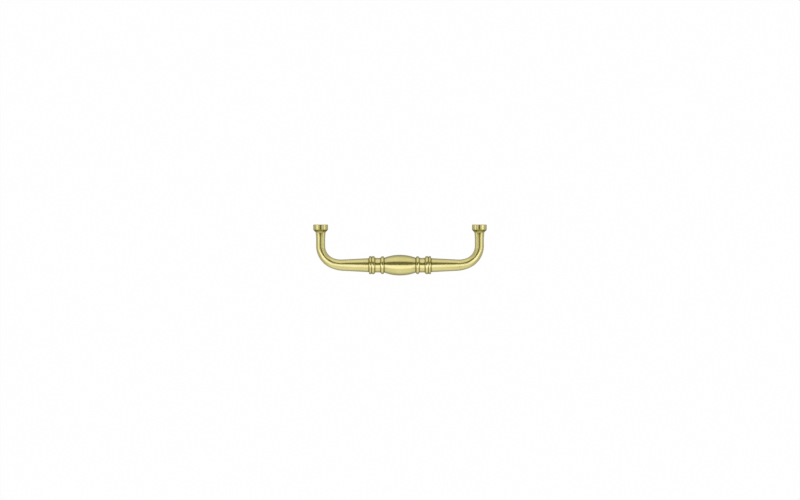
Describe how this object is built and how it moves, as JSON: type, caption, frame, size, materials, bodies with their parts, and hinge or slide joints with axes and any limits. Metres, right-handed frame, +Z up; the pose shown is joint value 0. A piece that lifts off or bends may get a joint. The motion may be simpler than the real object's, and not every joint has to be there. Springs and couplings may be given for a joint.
{
  "type": "bar pull",
  "caption": "Brass bar pull for a drawer or cabinet front: round legs on flat feet with tapped holes, tapered arms and a turned grip with rings, beads and a barrel.",
  "frame": {"origin": "midway between the two screw holes, on the plane where the feet seat on the drawer front", "axes": "+X along the bar, +Y from the grip towards the drawer front, +Z up as mounted on a vertical front"},
  "size_m": [0.1112, 0.0327, 0.0132],
  "materials": {
    "brass": "satin polished brass under clear lacquer"
  },
  "bodies": {
    "root": {"pull": "brass"}
  },
  "joints": []
}
